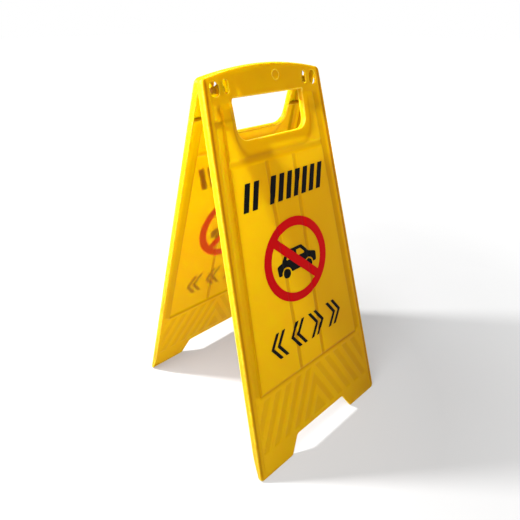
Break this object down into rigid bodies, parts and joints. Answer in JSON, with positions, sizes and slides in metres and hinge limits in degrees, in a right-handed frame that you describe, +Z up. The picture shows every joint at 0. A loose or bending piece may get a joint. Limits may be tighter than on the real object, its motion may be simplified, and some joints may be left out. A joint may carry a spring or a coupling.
{
  "type": "a-frame floor barricade",
  "caption": "Folding A-frame floor barricade: identical moulded plastic panels with a hand hole, pin-hinged at the top, with a no-cars marking on each face.",
  "frame": {"origin": "on the floor, midway between the feet of both panels, under the hinge axis", "axes": "+X along the hinge axis, +Z up; the front panel stands on the -Y side and the rear panel on the +Y side"},
  "size_m": [0.2988, 0.3356, 0.5773],
  "materials": {
    "panel_plastic": "satin moulded polypropylene, slightly translucent",
    "pin_plastic": "satin moulded plastic",
    "red_film": "smooth printed film",
    "black_film": "smooth printed film"
  },
  "bodies": {
    "front_leaf": {"front_panel": "panel_plastic", "right_hinge_pin": "pin_plastic", "front_prohibition_ring": "red_film", "front_car_symbol": "black_film", "front_hazard_bars": "black_film", "front_direction_chevrons": "black_film"},
    "rear_leaf": {"rear_panel": "panel_plastic", "left_hinge_pin": "pin_plastic", "rear_prohibition_ring": "red_film", "rear_car_symbol": "black_film", "rear_hazard_bars": "black_film", "rear_direction_chevrons": "black_film"}
  },
  "joints": [
    {"name": "fold", "type": "hinge", "parent": "front_leaf", "child": "rear_leaf", "pos_m": [0, 0, 0.55011], "axis": [-1, 0, 0], "range_deg": [0, 31.5]}
  ]
}
